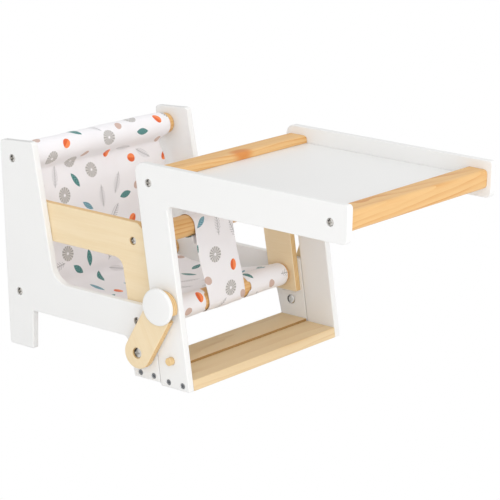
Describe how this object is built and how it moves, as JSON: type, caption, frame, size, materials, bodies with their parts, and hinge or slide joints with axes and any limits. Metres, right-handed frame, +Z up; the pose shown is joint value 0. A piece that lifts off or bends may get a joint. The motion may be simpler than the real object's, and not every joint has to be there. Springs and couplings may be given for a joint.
{
  "type": "toy doll high chair that converts to a low chair and table",
  "caption": "Doll's wooden high chair in its low position: fabric sling seat behind a small table that folds under the chair and locks with side latches.",
  "frame": {"origin": "middle of the footprint, on the floor", "axes": "+Z up, the table points towards -Y, the chair's back is at +Y, the doll's left is at -X"},
  "size_m": [0.3084, 0.487, 0.2463],
  "materials": {
    "white_lacquer": "white lacquer, satin",
    "birch_ply": "clear varnished birch plywood",
    "pine": "natural pine, satin",
    "tread_wood": "natural wood, satin",
    "printed_cotton": "off-white cotton with a leaf and petal print",
    "nickel": "bright nickel plate",
    "steel": "zinc plated steel"
  },
  "bodies": {
    "chair": {"chair_side_left": "white_lacquer", "chair_side_right": "white_lacquer", "arm_left": "birch_ply", "arm_right": "birch_ply", "arm_screw_left": "steel", "arm_screw_right": "steel", "back_top_dowel": "pine", "seat_rear_dowel": "pine", "seat_front_dowel": "pine", "safety_bar": "pine", "back_bolt_left": "nickel", "back_bolt_right": "nickel", "seat_rear_bolt_left": "nickel", "seat_rear_bolt_right": "nickel", "seat_front_bolt_left": "nickel", "seat_front_bolt_right": "nickel", "arm_bolt_left": "nickel", "arm_bolt_right": "nickel", "chair_footboard": "tread_wood", "chair_footboard_screw_1_left": "steel", "chair_footboard_screw_1_right": "steel", "chair_footboard_screw_2_left": "steel", "chair_footboard_screw_2_right": "steel", "seat_sling": "printed_cotton", "crotch_strap": "printed_cotton", "hinge_chair_leaf_left": "steel", "hinge_chair_leaf_right": "steel", "hinge_pin_left": "steel", "hinge_pin_right": "steel", "latch_sleeve_nut_left": "nickel", "latch_sleeve_nut_right": "nickel", "latch_pivot_bolt_left": "nickel", "latch_pivot_bolt_right": "nickel"},
    "table": {"table_side_left": "white_lacquer", "table_side_right": "white_lacquer", "tray_rear_bar": "pine", "tray_front_bar": "pine", "tray_rear_bolt_left": "nickel", "tray_rear_bolt_right": "nickel", "tray_front_bolt_left": "nickel", "tray_front_bolt_right": "nickel", "desk_panel": "white_lacquer", "table_footboard": "tread_wood", "table_footboard_screw_1_left": "steel", "table_footboard_screw_1_right": "steel", "table_footboard_screw_2_left": "steel", "table_footboard_screw_2_right": "steel", "hinge_table_leaf_left": "steel", "hinge_table_leaf_right": "steel", "lower_peg_left": "birch_ply", "lower_peg_right": "birch_ply", "upper_peg_left": "birch_ply", "upper_peg_right": "birch_ply"},
    "latch_left": {"latch_left": "birch_ply", "latch_knob_left": "white_lacquer"},
    "latch_right": {"latch_right": "birch_ply", "latch_knob_right": "white_lacquer"}
  },
  "joints": [
    {"name": "table_fold", "type": "hinge", "parent": "chair", "child": "table", "pos_m": [0, -0.00048, 0.0011], "axis": [1, 0, 0], "range_deg": [0, 180]},
    {"name": "left_latch_turn", "type": "hinge", "parent": "chair", "child": "latch_left", "pos_m": [-0.1455, 0.02622, 0.0339], "axis": [-1, 0, 0], "range_deg": [0, 219.84]},
    {"name": "right_latch_turn", "type": "hinge", "parent": "chair", "child": "latch_right", "pos_m": [0.1455, 0.02622, 0.0339], "axis": [-1, 0, 0], "range_deg": [-12, 207.84]}
  ]
}
